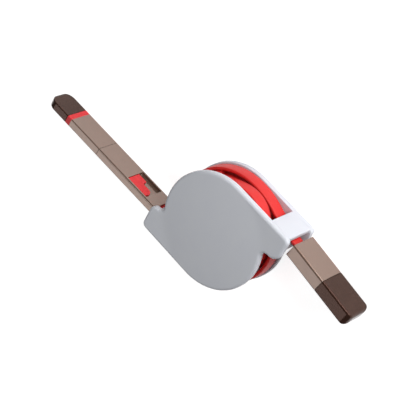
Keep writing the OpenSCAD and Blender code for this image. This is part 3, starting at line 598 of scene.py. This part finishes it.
# A smooth curve from one place and heading to another, whose height changes late
def eased(start, start_dir, end, end_dir, z0, z1, count=32):
    p0, p1 = Vector(start), Vector(end)
    m0, m1 = ((p1 - p0).length * Vector(polar(1, a)) for a in (start_dir, end_dir))
    stations = []
    for t in (i / count for i in range(1, count + 1)):
        place = ((2 * t ** 3 - 3 * t ** 2 + 1) * p0 + (t ** 3 - 2 * t ** 2 + t) * m0
                 + (3 * t ** 2 - 2 * t ** 3) * p1 + (t ** 3 - t ** 2) * m1)
        slope = ((6 * t ** 2 - 6 * t) * (p0 - p1) + (3 * t ** 2 - 4 * t + 1) * m0
                 + (3 * t ** 2 - 2 * t) * m1)
        stations.append((*place, z0 + (z1 - z0) * late(t), math.degrees(math.atan2(slope.y, slope.x))))
    return stations


def back_from(plug, distance):
    dx, dy = polar(distance, plug[3])
    return plug[0] - dx, plug[1] - dy


stations = [(*rear_line(380 - STEP * i), REAR_LANE, heading(rear_line, 380 - STEP * i))
            for i in range(131)]
stations += eased(rear_line(55), stations[-1][3], back_from(PLUG_A, 2.5), PLUG_A[3],
                  REAR_LANE, PLUG_A[2])
turn_a = piece_from("cable_turn_to_type_a", *sweep(stations), red_jacket)
finish_piece(turn_a, "covers", "red_cable", "turn_to_type_a")

stations = [(*front_line(550 - STEP * i), FRONT_LANE, heading(front_line, 550 - STEP * i))
            for i in range(121)]
stations += straight(front_line(250), OUT_DIR, OUT_RUN, FRONT_LANE, FRONT_LANE, 6)
start = stations[-1]
centre = (start[0] - BEND_R * math.sin(math.radians(OUT_DIR)),
          start[1] + BEND_R * math.cos(math.radians(OUT_DIR)))
stations += [(centre[0] + BEND_R * math.sin(math.radians(a)),
              centre[1] - BEND_R * math.cos(math.radians(a)), FRONT_LANE, a)
             for a in (OUT_DIR + BEND * i / 8 for i in range(1, 9))]
stations += straight(stations[-1][:2], PLUG_B[3], LAST_RUN, FRONT_LANE, PLUG_B[2])
turn_b = piece_from("cable_turn_to_micro", *sweep(stations), red_jacket)
finish_piece(turn_b, "covers", "red_cable", "turn_to_micro")

# %% [markdown]
# ## The coils
# Each lane is an even spiral: at every turn the cable moves out by its own thickness and a little
# air. The rear lane holds a little over four and a half turns and the front lane a little over
# three, and a short piece crosses the divider between them, beside the drum.

# %% The coils on the spool
DRUM_R = 14.5
FIRST_R = DRUM_R + AIR + CABLE_T / 2
REAR_DEGREES, FRONT_DEGREES = 1672, 1112


def coil(z, degrees):
    pitch = CABLE_T + AIR
    return [(*polar(FIRST_R + pitch * d / 360, -d), z, -d - 90) for d in range(0, degrees + 1, 4)]


crossing = [(*polar(FIRST_R, -2 * i), REAR_LANE + (FRONT_LANE - REAR_LANE) * i / 6, -90 - 2 * i)
            for i in range(7)]
coils = piece_from("cable_on_spool", *join_lists(
    sweep(coil(REAR_LANE, REAR_DEGREES)), sweep(coil(FRONT_LANE, FRONT_DEGREES)),
    sweep(crossing, 0.1)), red_jacket)
finish_piece(coils, "reel", "red_cable", "cable_coils")

# %% [markdown]
# ## Plugs in their own frame
# Each plug lies along its own line. Its pieces are drawn along X from its near end, with the
# thickness along Y and the width along Z, and one function turns and shifts them into place.

# %% Place a plug's points
def placed(points, plug):
    x0, y0, z0, heading = plug
    c, s = math.cos(math.radians(heading)), math.sin(math.radians(heading))
    return [(x0 + x * c - y * s, y0 + x * s + y * c, z0 + z) for x, y, z in points]


def lead(plug, start, end, count=16):
    rings = [[(start + (end - start) * i / count, u, v) for u, v in cable_section(0.02)]
             for i in range(count + 1)]
    points, faces = loft(rings)
    return placed(points, plug), faces


# %% [markdown]
# A lead is the stretch of cable between a mouth and its plug. When the plug is drawn out, the
# lead has to grow. Here each lead is a straight piece along its plug's line, held by neither body.

# %% Leads
lead_a = piece_from("cable_lead_type_a", *lead(PLUG_A, -2.6, 1), red_jacket)
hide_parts("lead_type_a")
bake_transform(lead_a)
lead_b = piece_from("cable_lead_micro", *lead(PLUG_B, -1, 3), red_jacket)
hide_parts("lead_micro")
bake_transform(lead_b)
print("leads:", lead_a.name, lead_b.name)


# %% [markdown]
# ## Housings and caps
# A housing starts as a bar whose section is a rounded rectangle. Openings are cut with Boolean
# modifiers, and a Bevel modifier then breaks every sharp edge by a tenth or two of a millimetre,
# as paint and moulding do. Those narrow edges are what catches the light in the photograph. Last,
# a Weighted Normal modifier lets the large faces shade as flat and keeps the rounding to the edges.

# %% Cut and bevel
def cut_and_bevel(piece, cutters, edge):
    for points, faces in cutters:
        tool = piece_from("cutter", points, faces, piece.data.materials[0])
        step = piece.modifiers.new("cut", "BOOLEAN")
        step.object, step.operation, step.solver = tool, "DIFFERENCE", "EXACT"
    if edge:
        step = piece.modifiers.new("edge", "BEVEL")
        step.width, step.segments, step.limit_method = edge * MM, 3, "ANGLE"
        step.angle_limit = math.radians(40)
    ready = piece.evaluated_get(bpy.context.evaluated_depsgraph_get())
    mesh = bpy.data.meshes.new_from_object(ready)
    piece.modifiers.clear()
    piece.data = mesh
    for tool in [o for o in bpy.data.objects if o.name.startswith("cutter")]:
        bpy.data.objects.remove(tool)
    made = bmesh.new()
    made.from_mesh(mesh)
    smooth_edges(made)
    made.to_mesh(mesh)
    made.free()
    step = piece.modifiers.new("flat_faces", "WEIGHTED_NORMAL")
    step.keep_sharp, step.weight = True, 80
    ready = piece.evaluated_get(bpy.context.evaluated_depsgraph_get())
    mesh = bpy.data.meshes.new_from_object(ready)
    piece.modifiers.clear()
    piece.data = mesh
    return piece


def bar(plug, x0, x1, t, w, radius):
    section = round_rect(0, 0, t, w, radius, 10)
    points, faces = loft([[(x, u, v) for u, v in section] for x in (x0, x1)])
    return placed(points, plug), faces


def half_bar(plug, x0, x1, t, w, radius, cut_y, upper):
    section = [(u, v) for u, v in round_rect(0, 0, t, w, radius, 10)
               if (u < cut_y if upper else u > cut_y)]
    ends = [(cut_y, -w / 2), (cut_y, w / 2)]
    # The ring's points are sorted about a place inside the half
    inside = -t / 4 - 0.6 if upper else 0.6
    ring = sorted(section + ends, key=lambda p: math.atan2(p[1], p[0] - inside))
    points, faces = loft([[(x, u, v) for u, v in ring] for x in (x0, x1)])
    return placed(points, plug), faces


# %% [markdown]
# The caps have round far corners, seen from the side and from above. Their section shrinks near
# the far end as two quarter circles do, one for the width and one for the thickness.

# %% A cap's outside
# The far rings lie where a quarter circle has turned by these angles, closer near the end
CAP_ANGLES = (12, 24, 36, 48, 58, 67, 75, 81, 86, 90)
# The open end is drawn in by the first value, over the length of the second
MOUTH_IN, MOUTH_LEN = 0.12, 0.15


# Half of a size at x, on a body whose end is rounded off with radius r
def half_at(x, length, size, r):
    back = max(0, x - (length - r))
    return size / 2 - r + math.sqrt(max(0, r * r - back * back))


def cap_body(plug, x0, length, t, w, radius, corner, side_corner):
    rings = []
    stops = [0, MOUTH_LEN, length - corner]
    stops += [length - corner * (1 - math.sin(math.radians(a))) for a in CAP_ANGLES]
    for k, x in enumerate(stops):
        ht, hw = half_at(x, length, t, side_corner), half_at(x, length, w, corner)
        inset = MOUTH_IN if k == 0 else 0
        rings.append([(x0 + x, u, v) for u, v in round_rect(0, 0, 2 * (ht - inset), 2 * (hw - inset),
                                                            min(radius, ht - inset - 0.02), 10)])
    points, faces = loft(rings)
    return placed(points, plug), faces


print("rings in a cap's body:", 3 + len(CAP_ANGLES))

# %% [markdown]
# ## The type-A plug
# Its sleeve is a champagne box, hollow for the metal shell, with a slot behind for the cable. The
# cap that meets it has the same section, so the two read as one bar with a change of colour.

# %% Type-A sleeve and cap
# Thickness, width and edge radius of the plug, and of the space for its metal shell
A_SECTION, SHELL_ROOM = (6.8, 13.7, 1.0), (4.8, 12.3)
CABLE_HOLE = (1.6, 6.1, 0.5)
SLEEVE_LEN, CAP_A_FROM, CAP_A_LEN = 18.6, 18.7, 18.7
sleeve = piece_from("type_a_sleeve_housing", *bar(PLUG_A, 0, SLEEVE_LEN, *A_SECTION), champagne)
cut_and_bevel(sleeve, [bar(PLUG_A, 1, 20, *SHELL_ROOM, 0.3), bar(PLUG_A, -1, 3, *CABLE_HOLE)], edge=0.25)
finish_piece(sleeve, "type_a_end", "tan_shell", "type_a_sleeve")
cap_a = piece_from("type_a_smoky_cap", *cap_body(PLUG_A, CAP_A_FROM, CAP_A_LEN, *A_SECTION,
                                                 corner=2.6, side_corner=2), smoky)
cut_and_bevel(cap_a, [bar(PLUG_A, 17, 30.95, *SHELL_ROOM, 0.4)], edge=0)
finish_piece(cap_a, "type_a_end_cap", "smoky_cap", "type_a_cap")

# %% [markdown]
# ## The two-in-one plug
# Its housings are split in two shells, with a fine groove along each narrow side. Near the reel a
# window of 12.6 mm by 10 mm is cut through the upper shell and into the lower one, and a red
# strap lies on its floor.

# %% Micro plug housing
# Thickness, width and edge radius of the whole plug, and the height at which its shells meet
B_SECTION, PART_Y = (4, 12, 0.5), -1.2
MICRO_LEN, MICRO_ROOM = 37.9, (1.9, 6.95, 0.2)
# The window's middle, length, width and corner radius, and the height of its floor
WINDOW_X, WINDOW_LEN, WINDOW_W, WINDOW_ROUND, WINDOW_FLOOR = 12.7, 12.6, 10, 0.5, -0.5
hole = round_rect(WINDOW_X, 0, WINDOW_LEN, WINDOW_W, WINDOW_ROUND)
points, faces = loft([[(x, y, v) for x, v in hole] for y in (-5, WINDOW_FLOOR)])
window = placed(points, PLUG_B), faces
lid = piece_from("micro_plug_upper_shell",
                 *half_bar(PLUG_B, 0, MICRO_LEN, *B_SECTION, PART_Y, upper=True), champagne)
cut_and_bevel(lid, [window], edge=0.12)
finish_piece(lid, "micro_end", "tan_shell", "micro_lid")
base = piece_from("micro_plug_lower_shell",
                  *half_bar(PLUG_B, 0, MICRO_LEN, *B_SECTION, PART_Y, upper=False), champagne)
cut_and_bevel(base, [window, bar(PLUG_B, -1, 3, *CABLE_HOLE), bar(PLUG_B, 33.85, 39, *MICRO_ROOM)],
              edge=0.15)
finish_piece(base, "micro_end", "tan_shell", "micro_base")

# %% Adapter housing
ADAPTER_FROM, ADAPTER_TO, SOCKET_ROOM = 38, 57.2, (2.5, 7.55, 0.2)
socket_space = bar(PLUG_B, 37, 44.05, *SOCKET_ROOM)
adapter_top = piece_from("adapter_upper_shell",
                         *half_bar(PLUG_B, ADAPTER_FROM, ADAPTER_TO, *B_SECTION, PART_Y, upper=True),
                         champagne)
cut_and_bevel(adapter_top, [socket_space], edge=0.12)
finish_piece(adapter_top, "adapter", "tan_shell", "adapter_lid")
adapter_low = piece_from("adapter_lower_shell",
                         *half_bar(PLUG_B, ADAPTER_FROM, ADAPTER_TO, *B_SECTION, PART_Y, upper=False),
                         champagne)
cut_and_bevel(adapter_low, [socket_space], edge=0.15)
finish_piece(adapter_low, "adapter", "tan_shell", "adapter_base")

# %% [markdown]
# ## Ring, tip cap and strap
# A red silicone ring seals the joint between the adapter and its cap. The cap's far end is a wide
# arch, seen from the broad side. The strap is a thin moulding with the outline of an L: a round
# end, an inner corner, and a broad root that fills the window's far part.

# %% Ring, tip cap and strap
RING_TO, TIP_FROM, TIP_LEN = 59.8, 59.9, 12.76
ring = piece_from("silicone_ring", *bar(PLUG_B, ADAPTER_TO, RING_TO, *B_SECTION), red_silicone)
cut_and_bevel(ring, [bar(PLUG_B, 56, 61, 2.7, 9.5, 0.4)], edge=0.1)
finish_piece(ring, "adapter", "red_silicone", "cap_ring")
tip = piece_from("smoky_tip_cap", *cap_body(PLUG_B, TIP_FROM, TIP_LEN, *B_SECTION,
                                            corner=4.8, side_corner=1.2), smoky)
cut_and_bevel(tip, [bar(PLUG_B, 58, 60.95, 2.9, 9.7, 0.4), bar(PLUG_B, 58, 66.75, 1.96, 7, 0.4)], edge=0)
finish_piece(tip, "adapter_cap", "smoky_cap", "tip_cap")
# From the round end, past the inner corner, to the root's two corners
strap_ring = (arc(9.8, 2.4, 2.55, 90, 270, 0, 10) + [(12.9, -0.15)] + arc(12.9, -0.9, 0.75, 75, 0, 0, 15)
              + [(13.65, -2.3), (13.9, -2.55), (18.95, -2.55), (18.95, 4.95)])
points, faces = loft([[(x, y, v) for x, v in strap_ring] for y in (-1.6, WINDOW_FLOOR)])
strap = piece_from("window_strap", placed(points, PLUG_B), faces, red_silicone)
cut_and_bevel(strap, [], edge=0.2)
finish_piece(strap, "micro_end", "red_silicone", "tether_strap")

# %% [markdown]
# ## Floor, light and camera
# The reel lies on a plain pale floor. To the camera the floor is nearly white, but it still takes
# a soft shadow, because only rays from the camera, mirrors and clear parts see its added glow.

# %% Floor
# Half of the floor's side, and the strength of the added glow
FLOOR_HALF, LIFT = 1500, 0.78
floor_paper, tree, shader = start_material("white_paper_floor", Roughness=0.9)
place = add(tree, "ShaderNodeTexCoord").outputs["Object"]
fibre = add(tree, "ShaderNodeTexNoise", sockets={"Vector": place, "Scale": spacing(0.6), "Detail": 3.0})
tone = add(tree, "ShaderNodeMix", {"data_type": "RGBA"},
           {"Factor": fibre.outputs["Fac"], "A_Color": linear("#F4F4F4"), "B_Color": linear("#F8F8F8")})
tree.links.new(tone.outputs[2], shader.inputs["Base Color"])
seen = add(tree, "ShaderNodeLightPath")
either = add(tree, "ShaderNodeMath", {"operation": "MAXIMUM"},
             {0: seen.outputs["Is Camera Ray"], 1: seen.outputs["Is Glossy Ray"]})
any_ray = add(tree, "ShaderNodeMath", {"operation": "MAXIMUM"},
              {0: either.outputs[0], 1: seen.outputs["Is Transmission Ray"]})
lift = add(tree, "ShaderNodeMath", {"operation": "MULTIPLY"}, {0: any_ray.outputs[0], 1: LIFT})
glow = add(tree, "ShaderNodeEmission", sockets={"Color": (1, 1, 1, 1), "Strength": lift.outputs[0]})
both = add(tree, "ShaderNodeAddShader", sockets={0: shader.outputs[0], 1: glow.outputs[0]})
tree.links.new(both.outputs[0], tree.nodes["Material Output"].inputs["Surface"])
floor = piece_from("floor", [(x * FLOOR_HALF, y * FLOOR_HALF, 0)
                             for x, y in ((-1, -1), (1, -1), (1, 1), (-1, 1))],
                   [(0, 1, 2, 3)], floor_paper)
print("floor in mm:", 2 * FLOOR_HALF)

# %% [markdown]
# ## Panels and surround
# One large panel stands low on the near side and lights the reel's edge and the plugs' broad
# faces. A weaker one hangs beyond the reel, where a mirror lying flat would send the camera's
# view, and gives the level faces a sheen. An even pale surround fills the rest, as in a light tent.

# %% Panels and surround
# Distance of the panels in metres, and the strength of the surround
PANEL_AWAY, SURROUND = 0.7, 0.1


def panel(name, direction, distance, size, watts):
    light = bpy.data.lights.new(name, "AREA")
    light.shape, light.size, light.energy = "SQUARE", size, watts
    lamp = bpy.data.objects.new(name, light)
    bpy.context.scene.collection.objects.link(lamp)
    away = Vector(direction).normalized()
    lamp.location = away * distance
    lamp.rotation_euler = away.to_track_quat("Z", "Y").to_euler()
    return lamp


panel("side_panel", (0.45, 0.87, 0.15), PANEL_AWAY, 0.6, 6.6)
panel("fill_panel", (-0.35, -0.58, 0.74), PANEL_AWAY, 0.4, 0.9)
world = bpy.data.worlds.new("light_tent")
bpy.context.scene.world = world
world.use_nodes = True
world.node_tree.nodes["Background"].inputs["Color"].default_value = (1, 1, 1, 1)
world.node_tree.nodes["Background"].inputs["Strength"].default_value = SURROUND

# %% [markdown]
# The camera stands where the photograph's did. Its place was found by matching the covers' round
# outline and the noses in the photo. It is a long lens, 135 mm on a 36 mm sensor, about 64 cm
# away, and it is tilted, so the reel leans in the picture.

# %% Camera
camera = bpy.data.objects.new("camera", bpy.data.cameras.new("camera"))
bpy.context.scene.collection.objects.link(camera)
camera.data.lens, camera.data.sensor_width = 135, 36
camera.location = (0.204712, 0.372574, 0.480908)
camera.rotation_mode = "QUATERNION"
camera.rotation_quaternion = (0.8818663, -0.2360425, 0.2761351, 0.3005748)
bpy.context.scene.camera = camera
bpy.context.scene.view_settings.view_transform = "Standard"
print("camera in mm:", [round(v / MM, 1) for v in camera.location])
